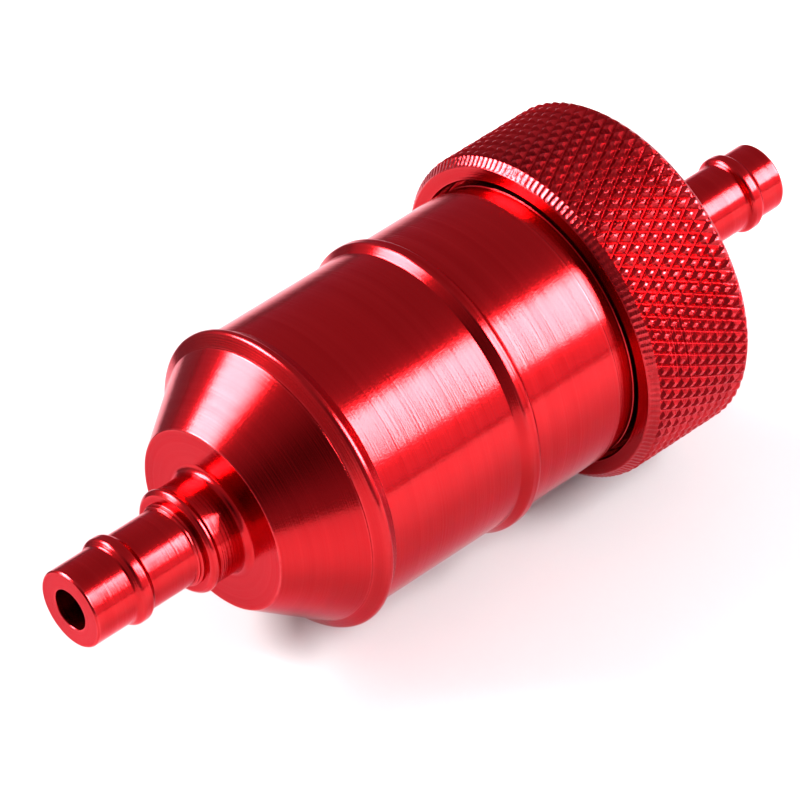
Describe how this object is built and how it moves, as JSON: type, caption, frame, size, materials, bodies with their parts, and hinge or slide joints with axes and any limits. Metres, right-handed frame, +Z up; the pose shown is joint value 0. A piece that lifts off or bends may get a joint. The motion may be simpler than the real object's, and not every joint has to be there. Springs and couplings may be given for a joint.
{
  "type": "inline fuel filter",
  "caption": "Turned inline fuel filter: a conical-ended bowl with a hose nipple, closed by a knurled screw cap with a second nipple, around a spring-loaded sintered thimble.",
  "frame": {"origin": "on the filter's axis, halfway between the two nipple tips", "axes": "+X along the axis in the direction of flow, from the inlet tip to the outlet tip; +Z up with the axis level"},
  "size_m": [0.082, 0.032, 0.032],
  "materials": {
    "red_anodised_aluminium": "bright turned, red anodised",
    "sintered_bronze": "porous sintered",
    "black_nitrile": "moulded, matt",
    "stainless_spring_wire": "drawn wire"
  },
  "bodies": {
    "housing": {"body_shell": "red_anodised_aluminium", "inlet_nipple": "red_anodised_aluminium", "element_spring": "stainless_spring_wire"},
    "element": {"filter_element": "sintered_bronze", "element_gasket": "black_nitrile"},
    "cap": {"knurled_cap": "red_anodised_aluminium", "outlet_nipple": "red_anodised_aluminium", "cap_o_ring": "black_nitrile"}
  },
  "joints": [
    {"name": "element_follow", "type": "slide", "parent": "housing", "child": "element", "axis": [1, 0, 0], "range_m": [0, 0.006], "deforming": ["element_spring"]},
    {"name": "cap_unscrew", "type": "hinge", "parent": "element", "child": "cap", "pos_m": [0.02, 0, 0], "axis": [1, 0, 0], "range_deg": [0, 1440]}
  ],
  "couplings": [
    {"joint": "cap_unscrew", "follows": "element_follow", "rad_per_m": 4188.8}
  ]
}
